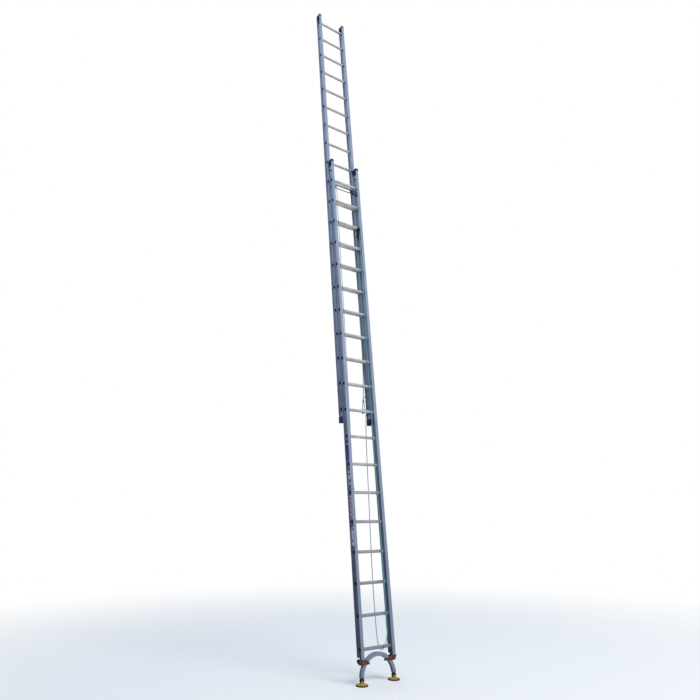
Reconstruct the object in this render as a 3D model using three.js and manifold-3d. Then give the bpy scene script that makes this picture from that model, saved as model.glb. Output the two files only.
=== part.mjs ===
// Two-section aluminium extension ladder on a levelling arc, leaning as it stands in use.
//
// Millimetres, +Z up. X runs along the rungs, the climber stands on the -Y side and the wall
// is on the +Y side. The origin is on the floor, midway between the two feet.
// The ladder is drawn upright in a group of its own, whose origin is the feet's ankle axis:
// x across, y from the climber towards the wall, and h along the stiles. The group then leans.

import * as THREE from "three";
import { mergeVertices } from "three/addons/utils/BufferGeometryUtils.js";
import Module from "manifold-3d";

const wasm = await Module();
wasm.setup();

// ---- driving dimensions ----------------------------------------------------------------
const LEAN = 84;                 // degrees between the stiles and the floor
const GAP = 0.3;                 // air left between pieces that touch

const RUNG_PITCH = 305;
const BASE_RUNGS = 19;
const FLY_RUNGS = 20;
const FLY_LEVELS_UP = 8;         // the fly's bottom rung stands this many pitches up the base
const FLY_RISE = 21.6;           // and this much above the base's rung, on the latch pawls

const WIDTH = 433;               // over the flanges of both stiles
const STILE_DEPTH = 75;
const FLANGE_WIDTH = 38;
const FLANGE_WALL = 3;
const WEB_WALL = 3;
const SECTION_GAP = 3;           // between the base's rear flanges and the fly's front ones

const RUNG_RADIUS = 16.5;
const RUNG_WALL = 2;
const RUNG_PROUD = 0.6;          // how far a rung's end stands out of the web
const RUNG_SIDES = 12;

const FIRST_RUNG = 277;          // the base's bottom rung above the ankle axis
const BASE_TAIL = 87;            // front flange and web below the base's bottom rung
const REAR_TAIL = 72;            // the rear of the section is cut off sooner
const REAR_CUT = 16;             // how much web goes with the rear flange there
const BASE_HEAD = 292;           // stile above the base's top rung
const FLY_TAIL = 150;
const FLY_HEAD = 122;

const ARC_RADIUS = 201;          // centreline of the levelling arc
const ARC_CENTRE = 19;           // its centre above the ankle axis
const ARC_TUBE = 38;
const ARC_WALL = 3;
const ARC_END_ANGLE = 4;         // degrees above level where the tube is cut off
const ARC_SEGMENTS = 30;

const CLAMP_PLATE = 6;
const CLAMP_SLACK = 1.5;         // between the arc and each clamp plate
const CLAMP_BLOCK_AIR = 0.9;     // between the arc's outer face and the clamp's block
const CLAMP_BLOCK_DEPTH = 48;    // of the block below the stile
const TONGUE_INSET = 5;          // from the flange's inner edge to the clamp's tongue
const CLAMP_TONGUE = 50;         // how far its tongue stands up beside the web

const NECK_PIN_RADIUS = 4;
const PIN_SLACK = 0.4;
const NECK_HEAD_RADIUS = 12;
const NECK_WIDTH = 38;
const NECK_DEPTH = 30;
const NECK_TOP = 22;
const NECK_EAR = 6;
const EAR_RADIUS = 13;
const LUG_RADIUS = 9;
const ANKLE_HEIGHT = 38;         // ankle axis above the floor

const PAD_RADIUS = 60;
const PAD_SKIRT_RADIUS = 47;
const PAD_TOP_RADIUS = 24;
const PAD_TOP = 24;
const SOLE_THICKNESS = 11;

const CAP_SKIRT = 59;            // how far an end plug reaches into the stile's channels
const CAP_CROWN = 8;             // its plate over the stile's end
const CLAW_WALL = 2.5;
const CLAW_REACH = 14;           // how far a claw reaches in behind the other section's flange

const SHAFT_DROP = 85;           // latch shaft below the base's top rung
const SHAFT_SETBACK = 24;        // and behind the base's rung plane
const SHAFT_RADIUS = 5;
const PAWL_PLACE = 151;          // middle of each pawl from the ladder's middle
const PAWL_THICKNESS = 10;
const PAWL_FROM = 48;            // degrees above the rearward line, at the pawl's tip
const PAWL_TO = 66;
const PAWL_HUB = 12;
const CRANK_LENGTH = 45;

const PULLEY_PLACE = 164;
const PULLEY_RUNG = 16;          // counted up from 0 at the bottom rung
const PULLEY_DROP = 116;
const SHEAVE_RADIUS = 32;
const SHEAVE_WIDTH = 14;
const SHEAVE_FLANGE = 2;
const AXLE_RADIUS = 4;
const CHEEK = 3;

const ROPE_RADIUS = 5;
const LINE_RADIUS = 4;

// ---- places worked out from them ---------------------------------------------------------
const edge = WIDTH / 2;
const webOuter = edge - (FLANGE_WIDTH - WEB_WALL) / 2;
const webInner = webOuter - WEB_WALL;
const flangeInner = edge - FLANGE_WIDTH;
const half = STILE_DEPTH / 2;
const flyY = STILE_DEPTH + SECTION_GAP;
const baseRungH = (k) => FIRST_RUNG + RUNG_PITCH * k;
const flyRungH = (k) => baseRungH(FLY_LEVELS_UP + k) + FLY_RISE;
const baseTop = baseRungH(BASE_RUNGS - 1) + BASE_HEAD;
const flyFoot = flyRungH(0) - FLY_TAIL;
const flyTop = flyRungH(FLY_RUNGS - 1) + FLY_HEAD;
const arcOuter = ARC_RADIUS + ARC_TUBE / 2;
const arcInner = ARC_RADIUS - ARC_TUBE / 2;
const arcHalf = ARC_TUBE / 2;
const shaftH = baseRungH(BASE_RUNGS - 1) - SHAFT_DROP;
const restingRungH = flyRungH(BASE_RUNGS - 1 - FLY_LEVELS_UP);
const pawlReach = Math.hypot(flyY - SHAFT_SETBACK, restingRungH - shaftH) - RUNG_RADIUS - GAP;
const sheaveH = baseRungH(PULLEY_RUNG) - PULLEY_DROP;
const grooveRadius = SHEAVE_RADIUS - 10;
const ropeOnSheave = grooveRadius + ROPE_RADIUS + GAP;

// ---- finishes ------------------------------------------------------------------------------
const finish = (color, roughness, metalness) =>
  new THREE.MeshStandardMaterial({ color, roughness, metalness });
const mill = finish(0x9fa9bb, 0.42, 0.9);
const millDark = finish(0x7d8592, 0.45, 0.9);
const navy = finish(0x14215a, 0.45, 0.0);
const redPaint = finish(0x6a0c12, 0.4, 0.1);
const blackPlastic = finish(0x141518, 0.55, 0.0);
const yellowPlastic = finish(0xa8852a, 0.55, 0.0);
const steel = finish(0xb4b6b8, 0.35, 0.9);
const ropeFibre = finish(0x6fa3a6, 0.85, 0.0);

// ---- geometry helpers ------------------------------------------------------------------------
function signedVolume(geometry) {
  const p = geometry.attributes.position;
  const index = geometry.index;
  const [a, b, c] = [new THREE.Vector3(), new THREE.Vector3(), new THREE.Vector3()];
  let sum = 0;
  for (let i = 0; i < index.count; i += 3) {
    a.fromBufferAttribute(p, index.getX(i));
    b.fromBufferAttribute(p, index.getX(i + 1));
    c.fromBufferAttribute(p, index.getX(i + 2));
    sum += a.dot(b.cross(c));
  }
  return sum / 6;
}

// One watertight shell with shared corners, its faces pointing out.
function closed(geometry) {
  geometry.deleteAttribute("normal");
  geometry.deleteAttribute("uv");
  const merged = mergeVertices(geometry, 1e-3);
  const kept = [];
  const index = merged.index.array;
  for (let i = 0; i < index.length; i += 3) {
    const [a, b, c] = [index[i], index[i + 1], index[i + 2]];
    if (a !== b && b !== c && c !== a) kept.push(a, b, c);
  }
  merged.setIndex(kept);
  if (signedVolume(merged) < 0) {
    for (let i = 0; i < kept.length; i += 3) [kept[i], kept[i + 1]] = [kept[i + 1], kept[i]];
    merged.setIndex(kept);
  }
  return merged;
}

function solid(geometry) {
  const shell = closed(geometry);
  return new wasm.Manifold(new wasm.Mesh({
    numProp: 3,
    vertProperties: Float32Array.from(shell.attributes.position.array),
    triVerts: Uint32Array.from(shell.index.array),
  }));
}

function shapeOf(body) {
  const mesh = body.getMesh();
  const geometry = new THREE.BufferGeometry();
  geometry.setAttribute("position", new THREE.BufferAttribute(mesh.vertProperties, 3));
  geometry.setIndex(new THREE.BufferAttribute(mesh.triVerts, 1));
  return geometry;
}

const join = (...bodies) => bodies.reduce((all, body) => all.add(body));

function box(x, y, z) {
  const geometry = new THREE.BoxGeometry(x[1] - x[0], y[1] - y[0], z[1] - z[0]);
  return solid(geometry.translate((x[0] + x[1]) / 2, (y[0] + y[1]) / 2, (z[0] + z[1]) / 2));
}

function cylinderX(radius, x, y, z, sides = 12) {
  const geometry = new THREE.CylinderGeometry(radius, radius, x[1] - x[0], sides);
  return solid(geometry.rotateZ(Math.PI / 2).translate((x[0] + x[1]) / 2, y, z));
}

function cylinderY(radius, x, y, z, sides = 12) {
  const geometry = new THREE.CylinderGeometry(radius, radius, y[1] - y[0], sides);
  return solid(geometry.translate(x, (y[0] + y[1]) / 2, z));
}

const outline = (points) => new THREE.Shape(points.map(([a, b]) => new THREE.Vector2(a, b)));

// An outline in the x-z plane, given a thickness along y.
function plateXZ(points, y) {
  const geometry = new THREE.ExtrudeGeometry(outline(points), { depth: y[1] - y[0], bevelEnabled: false });
  return solid(geometry.rotateX(Math.PI / 2).translate(0, y[1], 0));
}

// An outline in the y-z plane, given a thickness along x.
function plateYZ(points, x) {
  const geometry = new THREE.ExtrudeGeometry(outline(points), { depth: x[1] - x[0], bevelEnabled: false });
  const turn = new THREE.Matrix4().makeBasis(
    new THREE.Vector3(0, 1, 0), new THREE.Vector3(0, 0, 1), new THREE.Vector3(1, 0, 0));
  return solid(geometry.applyMatrix4(turn).translate(x[0], 0, 0));
}

// Points along a round stretch, angles in degrees from the first axis towards the second.
function arcPoints(radius, from, to, steps, centre = [0, 0]) {
  return Array.from({ length: steps + 1 }, (_, i) => {
    const angle = THREE.MathUtils.degToRad(from + (to - from) * i / steps);
    return [centre[0] + radius * Math.cos(angle), centre[1] + radius * Math.sin(angle)];
  });
}

const span = (side, a, b) => (side > 0 ? [a, b] : [-b, -a]);
const sideName = (side) => (side > 0 ? "right" : "left");
const numbered = (n) => String(n).padStart(2, "0");

function place(group, name, geometry, material) {
  const mesh = new THREE.Mesh(geometry, material);
  mesh.name = name;
  group.add(mesh);
  return mesh;
}

// ---- stiles and rungs ----------------------------------------------------------------------------
function stileBody(side, y, from, to, rungHeights) {
  const shape = outline([
    [flangeInner, -half], [edge, -half], [edge, -half + FLANGE_WALL], [webOuter, -half + FLANGE_WALL],
    [webOuter, half - FLANGE_WALL], [edge, half - FLANGE_WALL], [edge, half], [flangeInner, half],
    [flangeInner, half - FLANGE_WALL], [webInner, half - FLANGE_WALL],
    [webInner, -half + FLANGE_WALL], [flangeInner, -half + FLANGE_WALL],
  ].map(([x, v]) => [x * side, v + y]));
  let body = solid(new THREE.ExtrudeGeometry(shape, { depth: to - from, bevelEnabled: false })
    .translate(0, 0, from));
  for (const h of rungHeights) {
    body = body.subtract(
      cylinderX(RUNG_RADIUS + GAP, span(side, webInner - 5, webOuter + 5), y, h, RUNG_SIDES));
  }
  return body;
}

function rungGeometry(y, h) {
  const end = webOuter + RUNG_PROUD;
  const profile = [
    [RUNG_RADIUS - RUNG_WALL, -end], [RUNG_RADIUS, -end], [RUNG_RADIUS, end],
    [RUNG_RADIUS - RUNG_WALL, end], [RUNG_RADIUS - RUNG_WALL, -end],
  ].map(([r, x]) => new THREE.Vector2(r, x));
  return closed(new THREE.LatheGeometry(profile, RUNG_SIDES).rotateZ(Math.PI / 2).translate(0, y, h));
}

function addBaseSection(group) {
  const heights = Array.from({ length: BASE_RUNGS }, (_, k) => baseRungH(k));
  const foot = FIRST_RUNG - BASE_TAIL;
  for (const side of [-1, 1]) {
    const notch = box(span(side, flangeInner - 5, edge + 5), [half - FLANGE_WALL - REAR_CUT, half + 5],
      [foot - 5, FIRST_RUNG - REAR_TAIL]);
    const shaftHole = cylinderX(SHAFT_RADIUS + PIN_SLACK, span(side, webInner - 5, webOuter + 5),
      SHAFT_SETBACK, shaftH);
    const body = stileBody(side, 0, foot, baseTop, heights).subtract(notch).subtract(shaftHole);
    place(group, `base_stile_${sideName(side)}`, shapeOf(body), mill);
  }
  heights.forEach((h, k) => place(group, `base_rung_${numbered(k + 1)}`, rungGeometry(0, h), mill));
}

function addFlySection(group) {
  const heights = Array.from({ length: FLY_RUNGS }, (_, k) => flyRungH(k));
  for (const side of [-1, 1]) {
    const body = stileBody(side, flyY, flyFoot, flyTop, heights);
    place(group, `fly_stile_${sideName(side)}`, shapeOf(body), mill);
  }
  heights.forEach((h, k) => place(group, `fly_rung_${numbered(k + 1)}`, rungGeometry(flyY, h), millDark));
}

// A plastic plug on a stile's end. Its two skirts fill the channels on both sides of the web, and
// its claw goes round the inner edge of the other section's flange, which keeps the two sections
// together while one slides on the other.
function endPlug(side, y, end, inward, otherY) {
  const ordered = (a, b) => [Math.min(a, b), Math.max(a, b)];
  const crown = ordered(end - inward * GAP, end - inward * (GAP + CAP_CROWN));
  const tall = ordered(end - inward * (GAP + CAP_CROWN), end + inward * CAP_SKIRT);
  const inside = half - FLANGE_WALL - GAP;
  const clawEdge = flangeInner - GAP - CLAW_WALL;
  const towards = Math.sign(otherY - y);
  const lip = otherY - towards * (half - FLANGE_WALL - GAP * 2);
  const lipFar = lip + towards * CLAW_WALL;
  return join(
    box(span(side, flangeInner, edge), [y - half, y + half], crown),
    box(span(side, webOuter + GAP, edge - 0.6), [y - inside, y + inside], tall),
    box(span(side, clawEdge, webInner - GAP), [y - inside, y + inside], tall),
    box(span(side, clawEdge, flangeInner - GAP), ordered(y + towards * (inside - 15), lipFar), tall),
    box(span(side, clawEdge, clawEdge + CLAW_REACH), ordered(lip, lipFar), tall),
  );
}

function addEndPlugs(group) {
  for (const side of [-1, 1]) {
    place(group, `base_cap_${sideName(side)}`, shapeOf(endPlug(side, 0, baseTop, -1, flyY)), navy);
    place(group, `fly_guide_${sideName(side)}`, shapeOf(endPlug(side, flyY, flyFoot, 1, 0)), navy);
  }
}

// ---- levelling arc and its clamps ------------------------------------------------------------------
function ringSector(inner, outer, from, to, y) {
  const centre = [0, ARC_CENTRE];
  return plateXZ([
    ...arcPoints(outer, from, to, ARC_SEGMENTS, centre),
    ...arcPoints(inner, to, from, ARC_SEGMENTS, centre),
  ], y);
}

const neckPin = {
  x: ARC_RADIUS * Math.cos(THREE.MathUtils.degToRad(ARC_END_ANGLE)),
  h: ARC_CENTRE + ARC_RADIUS * Math.sin(THREE.MathUtils.degToRad(ARC_END_ANGLE)) + 5,
};

function addArc(group) {
  const hollow = arcHalf - ARC_WALL;
  let tube = ringSector(arcInner, arcOuter, ARC_END_ANGLE, 180 - ARC_END_ANGLE, [-arcHalf, arcHalf])
    .subtract(ringSector(arcInner + ARC_WALL, arcOuter - ARC_WALL, 0, 180, [-hollow, hollow]));
  for (const side of [-1, 1]) {
    tube = tube.subtract(cylinderY(NECK_PIN_RADIUS + PIN_SLACK, side * neckPin.x,
      [-arcHalf - 5, arcHalf + 5], neckPin.h));
  }
  place(group, "levelling_arc", shapeOf(tube), mill);
}

// Two kite-shaped plates lie across the arc, one in front and one behind. A block under the stile
// joins them, and its tongue stands up into the stile's inner channel, where it is bolted to the web.
function addClamps(group) {
  const near = arcHalf + CLAMP_SLACK;
  const far = near + CLAMP_PLATE;
  const stileFoot = FIRST_RUNG - BASE_TAIL;
  const blockFoot = stileFoot - CLAMP_BLOCK_DEPTH;
  const blockInner = Math.sqrt((arcOuter + CLAMP_BLOCK_AIR) ** 2 - (blockFoot - ARC_CENTRE) ** 2);
  for (const side of [-1, 1]) {
    const kite = [
      [edge + 14.5, stileFoot - 8], [edge + 1.5, stileFoot + 4], [edge - 24, stileFoot + 2],
      [edge - 66, stileFoot - 4], [edge - 109, stileFoot - 34], [edge - 107, stileFoot - 42],
      [edge - 96, stileFoot - 48], [edge - 27, stileFoot - 49], [edge - 10, stileFoot - 39],
      [edge + 11.5, stileFoot - 19],
    ].map(([x, h]) => [x * side, h]);
    const block = box(span(side, blockInner, edge - 3), [-near - 1, near + 1], [blockFoot, stileFoot - GAP]);
    const tongue = box(span(side, flangeInner + TONGUE_INSET, webInner - GAP), [-near, half - FLANGE_WALL - REAR_CUT],
      [stileFoot - 5, stileFoot + CLAMP_TONGUE]);
    const webSlot = box(span(side, webInner - GAP, webOuter + GAP), [-far - 5, far + 5],
      [stileFoot - GAP, stileFoot + 20]);
    const clamp = join(plateXZ(kite, [-far, -near]), plateXZ(kite, [near, far]), block, tongue)
      .subtract(webSlot);
    place(group, `arc_clamp_${sideName(side)}`, shapeOf(clamp), redPaint);
  }
}

// ---- feet ----------------------------------------------------------------------------------------------
// The neck turns in the tube's end on a pin along y, and holds the pad on a pin along x.
function addNecks(group) {
  for (const side of [-1, 1]) {
    const x = side * neckPin.x;
    const head = cylinderY(NECK_HEAD_RADIUS, x, [-NECK_DEPTH / 2, NECK_DEPTH / 2], neckPin.h, 16);
    const shank = box([x - 10, x + 10], [-NECK_DEPTH / 2, NECK_DEPTH / 2], [NECK_TOP - 1, neckPin.h]);
    const tubePin = cylinderY(NECK_PIN_RADIUS, x, [-arcHalf - 1, arcHalf + 1], neckPin.h);
    const wide = NECK_WIDTH / 2;
    const block = box([x - wide, x + wide], [-NECK_DEPTH / 2, NECK_DEPTH / 2],
      [LUG_RADIUS + 1, NECK_TOP]);
    const earOutline = [
      [-EAR_RADIUS, LUG_RADIUS + 2], ...arcPoints(EAR_RADIUS, 180, 360, 8), [EAR_RADIUS, LUG_RADIUS + 2],
    ];
    const ears = join(plateYZ(earOutline, [x - wide, x - wide + NECK_EAR]),
      plateYZ(earOutline, [x + wide - NECK_EAR, x + wide]));
    const anklePin = cylinderX(NECK_PIN_RADIUS, [x - wide, x + wide], 0, 0);
    place(group, `foot_neck_${sideName(side)}`,
      shapeOf(join(head, shank, tubePin, block, ears, anklePin)), blackPlastic);
  }
}

// The pad lies level on the floor, so it is drawn outside the leaning group, round its own ankle.
function addPads(group) {
  for (const side of [-1, 1]) {
    const profile = [
      [0, 0], [PAD_RADIUS - 2, 0], [PAD_RADIUS, 2], [PAD_RADIUS - 1, SOLE_THICKNESS - 3],
      [PAD_SKIRT_RADIUS + 2, SOLE_THICKNESS], [PAD_SKIRT_RADIUS, SOLE_THICKNESS + 3],
      [PAD_TOP_RADIUS + 8, PAD_TOP - 4], [PAD_TOP_RADIUS, PAD_TOP], [0, PAD_TOP],
    ].map(([r, z]) => new THREE.Vector2(r, z));
    const dish = solid(new THREE.LatheGeometry(profile, 24).rotateX(Math.PI / 2));
    const inner = NECK_WIDTH / 2 - NECK_EAR - GAP;
    const lug = plateYZ([
      [LUG_RADIUS, PAD_TOP - 2], ...arcPoints(LUG_RADIUS, 0, 180, 8, [0, ANKLE_HEIGHT]),
      [-LUG_RADIUS, PAD_TOP - 2],
    ], [-inner, inner]);
    const hole = cylinderX(NECK_PIN_RADIUS + PIN_SLACK, [-inner - 5, inner + 5], 0, ANKLE_HEIGHT);
    const pad = place(group, `foot_pad_${sideName(side)}`, shapeOf(dish.add(lug).subtract(hole)),
      yellowPlastic);
    pad.position.x = side * neckPin.x;
  }
}

// ---- latch ------------------------------------------------------------------------------------------------
// One shaft through both webs of the base carries two pawls. A rung of the fly rests on their tips,
// which are struck about the shaft's axis, and a crank on the left end of the shaft pulls them clear.
function addLatch(group) {
  const centre = [SHAFT_SETBACK, shaftH];
  const pawl = [
    ...arcPoints(pawlReach, PAWL_FROM, PAWL_TO, 4, centre),
    ...arcPoints(PAWL_HUB, PAWL_TO + 60, PAWL_FROM + 240, 8, centre),
  ];
  const crank = [
    [SHAFT_SETBACK, shaftH + 7], [SHAFT_SETBACK, shaftH - 7],
    [SHAFT_SETBACK - CRANK_LENGTH, shaftH - 6], [SHAFT_SETBACK - CRANK_LENGTH, shaftH + 4],
  ];
  const halfPawl = PAWL_THICKNESS / 2;
  const shaft = cylinderX(SHAFT_RADIUS, [-webOuter - 5, webOuter + 5], SHAFT_SETBACK, shaftH);
  const parts = [
    plateYZ(pawl, [PAWL_PLACE - halfPawl, PAWL_PLACE + halfPawl]),
    plateYZ(pawl, [-PAWL_PLACE - halfPawl, -PAWL_PLACE + halfPawl]),
    plateYZ(crank, [-PAWL_PLACE - halfPawl, -PAWL_PLACE + halfPawl]),
  ];
  place(group, "latch_yoke", shapeOf(join(shaft, ...parts)), blackPlastic);
}

// ---- pulley --------------------------------------------------------------------------------------------------
function addPulley(group) {
  const hangerH = baseRungH(PULLEY_RUNG);
  const cheekIn = SHEAVE_WIDTH / 2 + 1;
  const cheekOut = cheekIn + CHEEK;
  const collarRadius = RUNG_RADIUS + GAP + 4;
  const strap = [
    [-14, hangerH], ...arcPoints(14, 180, 360, 8, [0, sheaveH]), [14, hangerH],
  ];
  const cheeks = [
    plateYZ(strap, [PULLEY_PLACE - cheekOut, PULLEY_PLACE - cheekIn]),
    plateYZ(strap, [PULLEY_PLACE + cheekIn, PULLEY_PLACE + cheekOut]),
  ];
  const collar = cylinderX(collarRadius, [PULLEY_PLACE - cheekOut, PULLEY_PLACE + cheekOut], 0, hangerH);
  const rungHole = cylinderX(RUNG_RADIUS + GAP,
    [PULLEY_PLACE - cheekOut - 5, PULLEY_PLACE + cheekOut + 5], 0, hangerH, RUNG_SIDES);
  const axle = cylinderX(AXLE_RADIUS, [PULLEY_PLACE - cheekOut, PULLEY_PLACE + cheekOut], 0, sheaveH);
  const bracket = join(collar, ...cheeks).subtract(rungHole).add(axle);
  place(group, "pulley_bracket", shapeOf(bracket), blackPlastic);

  const w = SHEAVE_WIDTH / 2;
  const bore = AXLE_RADIUS + PIN_SLACK;
  const profile = [
    [bore, -w], [SHEAVE_RADIUS, -w], [SHEAVE_RADIUS, -w + SHEAVE_FLANGE - 1], [grooveRadius + 4, -w + 1.7],
    [grooveRadius, -w + 4.5], [grooveRadius, w - 4.5], [grooveRadius + 4, w - 1.7],
    [SHEAVE_RADIUS, w - SHEAVE_FLANGE + 1], [SHEAVE_RADIUS, w], [bore, w], [bore, -w],
  ].map(([r, x]) => new THREE.Vector2(r, x));
  const sheave = closed(new THREE.LatheGeometry(profile, 20).rotateZ(Math.PI / 2)
    .translate(PULLEY_PLACE, 0, sheaveH));
  place(group, "pulley_sheave", sheave, blackPlastic);
}

// ---- ropes -----------------------------------------------------------------------------------------------------
// A route through chosen points that takes the same number of steps between each two of them,
// so that long straight falls cost few steps and tight turns get theirs.
class Route extends THREE.CatmullRomCurve3 {
  getUtoTmapping(u) {
    return u;
  }
}

// Points are x, y and height along the stiles. The rope is tied to the fly's bottom rung, goes up
// behind the base's rungs and over the sheave, comes down in front of them, goes round the bottom
// rung, and rises behind to the fly's bottom rung again.
const overSheave = arcPoints(ropeOnSheave, 0, 180, 6, [0, sheaveH])
  .map(([y, h]) => [PULLEY_PLACE, y, h]);
const HOIST_ROPE = [
  [80, 55, 2757], [88, 54.5, 2802], [102, 54, 2862], [107, 53.5, 2940], [116, 51, 3060], [125, 47, 3300],
  [131, 43, 3750], [138, 38, 4150], [154, 32, 4600], [162, 29.5, 4880],
  ...overSheave,
  [163, -27.5, 4880], [160, -27, 4400], [155, -26.5, 4000], [146, -26, 3550], [143, -25.5, 3000],
  [142, -25, 2280], [147, -25, 1640],
  [145, -25, 1020], [142, -25, 700], [136, -25, 400], [125, -25.5, 350], [104, -26, 301], [84, -23, 266],
  [68, -6, 252.5], [60, 14, 259.5], [54, 25, 285], [47, 28, 325], [42, 29, 385], [39, 32, 700],
  [45, 36, 1010], [69, 43, 1625], [96, 50, 2290], [109, 53, 2514], [127, 55, 2706],
];
const LATCH_LINE = [
  [-151, -28.5, 5674], [-151, -28.5, 5560], [-151, -25.5, 5300], [-152, -24, 4800], [-154, -23.5, 4100],
  [-161, -23.5, 3300], [-168, -23.5, 2600], [-172, -23.5, 2260], [-173, -23.5, 1990], [-172, -23.5, 1830],
];

function cord(points, radius, stepsPerSpan) {
  const route = new Route(points.map((p) => new THREE.Vector3(...p)), false, "centripetal");
  const section = outline(arcPoints(radius, 0, 315, 7));
  return closed(new THREE.ExtrudeGeometry(section, {
    steps: (points.length - 1) * stepsPerSpan, extrudePath: route, bevelEnabled: false,
  }));
}

// ---- the whole ladder ----------------------------------------------------------------------------------------------
const ladder = new THREE.Group();
const leaning = new THREE.Group();
leaning.position.z = ANKLE_HEIGHT;
leaning.rotation.x = -THREE.MathUtils.degToRad(90 - LEAN);
ladder.add(leaning);

addBaseSection(leaning);
addFlySection(leaning);
addEndPlugs(leaning);
addArc(leaning);
addClamps(leaning);
addNecks(leaning);
addPads(ladder);
addLatch(leaning);
addPulley(leaning);
place(leaning, "hoist_rope", cord(HOIST_ROPE, ROPE_RADIUS, 2), ropeFibre);
place(leaning, "latch_line", cord(LATCH_LINE, LINE_RADIUS, 2), ropeFibre);

export default ladder;
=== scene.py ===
# %% [markdown]
# # An aluminium extension ladder, set up at full length
#
# A base section stands on a curved levelling foot, and a fly section is hoisted up behind it with a
# rope and held by latches. The lesson builds what the eye meets on each of them: extruded stiles,
# fluted rungs, moulded plugs, clamps, feet, ropes and stickers. The imported frame fixes every size and
# place, so the first thing to do is to load it.

# %% Load the frame
import math

import bmesh
import bpy
from mathutils import Matrix, Vector


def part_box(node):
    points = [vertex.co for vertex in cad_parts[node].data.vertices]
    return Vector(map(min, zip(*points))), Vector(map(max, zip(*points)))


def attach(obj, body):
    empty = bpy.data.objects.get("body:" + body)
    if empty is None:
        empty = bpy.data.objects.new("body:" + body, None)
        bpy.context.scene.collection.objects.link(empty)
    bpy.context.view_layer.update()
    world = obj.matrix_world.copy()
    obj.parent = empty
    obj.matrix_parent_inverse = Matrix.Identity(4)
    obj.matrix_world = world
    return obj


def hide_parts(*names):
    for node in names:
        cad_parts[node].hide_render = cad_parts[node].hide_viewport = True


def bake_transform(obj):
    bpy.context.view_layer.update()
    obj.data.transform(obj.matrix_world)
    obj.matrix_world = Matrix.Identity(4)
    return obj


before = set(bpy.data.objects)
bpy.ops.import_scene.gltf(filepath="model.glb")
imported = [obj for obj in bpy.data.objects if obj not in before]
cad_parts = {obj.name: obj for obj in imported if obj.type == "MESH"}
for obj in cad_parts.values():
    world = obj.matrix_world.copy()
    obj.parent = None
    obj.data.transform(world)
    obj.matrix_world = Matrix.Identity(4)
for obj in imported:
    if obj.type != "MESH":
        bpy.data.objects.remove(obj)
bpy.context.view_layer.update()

# %% [markdown]
# ## Working upright
#
# The ladder leans at six degrees, and nobody models a leaning thing by choice. A piece is made on an
# upright ladder, with X across, Y from the climber to the wall and Z along the stiles, and its mesh is
# tipped over last. The same turn run backwards reads the frame's places off upright.

# %% The lean, and places on the upright ladder
MM = 0.001
ANKLE = 38 * MM
LEAN = Matrix.Translation((0, 0, ANKLE)) @ Matrix.Rotation(math.radians(-6), 4, "X")
UPRIGHT = LEAN.inverted()


def upright_box(node):
    """The lowest and highest corners of a frame node on the upright ladder, in metres."""
    points = [UPRIGHT @ v.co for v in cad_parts[node].data.vertices]
    return (Vector(min(p[i] for p in points) for i in range(3)),
            Vector(max(p[i] for p in points) for i in range(3)))


def upright_middle(node):
    """The middle of a frame node on the upright ladder, in metres."""
    low, high = upright_box(node)
    return (low + high) / 2


def at(x, y, h):
    """A point given in millimetres on the upright ladder, in metres where it leans."""
    return LEAN @ Vector((x * MM, y * MM, h * MM))


LEFT, RIGHT = -1, 1
SIDES = {"left": LEFT, "right": RIGHT}
base_rungs = [upright_middle(f"base_rung_{k:02d}") for k in range(1, 20)]
fly_rungs = [upright_middle(f"fly_rung_{k:02d}") for k in range(1, 21)]
print("rung pitch:", round((base_rungs[1] - base_rungs[0]).z / MM, 1), "mm")

# %% [markdown]
# ## The camera
#
# The ladder is seen by somebody standing to its left in front, with the eye at about 1.6 m. Such a tall
# thing has to be looked at from below, so the camera is tipped up, and the stiles draw together as
# they rise. A longer lens from further off would flatten that, which is why the lens stays short.

# %% Camera
camera = bpy.data.objects.new("camera", bpy.data.cameras.new("camera"))
bpy.context.scene.collection.objects.link(camera)
bpy.context.scene.camera = camera
camera.location = (-4.082, -5.193, 1.633)
camera.rotation_euler = (math.radians(104.96), 0, math.radians(-35.75))
camera.data.lens = 31.05
camera.data.sensor_width = 36
print("camera at", [round(c, 3) for c in camera.location])

# %% [markdown]
# ## The ropes
#
# Three strands are laid together into a rope, and the eye knows it by the slanting furrows. A tube with
# a bump pattern would stay round at its edge. Here the section itself has three lobes, and it turns a
# little at each step along the route, so the strands stand proud in the outline too. The routes are
# lists of given points, the same as in the frame, joined by one smooth curve.

# %% A smooth route through points
def smooth_route(points, step):
    """Points about a step apart on the centripetal Catmull-Rom curve through the given ones."""
    p = [Vector(q) for q in points]
    p = [2 * p[0] - p[1]] + p + [2 * p[-1] - p[-2]]
    out = []
    for a, b, c, d in zip(p, p[1:], p[2:], p[3:]):
        s, t, u = ((b - a).length ** 0.5, (c - b).length ** 0.5, (d - c).length ** 0.5)
        leave = ((b - a) / s - (c - a) / (s + t) + (c - b) / t) * t
        arrive = ((c - b) / t - (d - b) / (t + u) + (d - c) / u) * t
        count = max(2, round((c - b).length / step))
        for i in range(count):
            k = i / count
            out.append(b * (2 * k ** 3 - 3 * k ** 2 + 1) + leave * (k ** 3 - 2 * k ** 2 + k)
                       + c * (3 * k ** 2 - 2 * k ** 3) + arrive * (k ** 3 - k ** 2))
    return out + [p[-2]]


def length_of(points):
    """The length of a line of points."""
    return sum((b - a).length for a, b in zip(points, points[1:]))


# %% A laid rope along a route
STRANDS = 3
SECTION = 15


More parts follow.
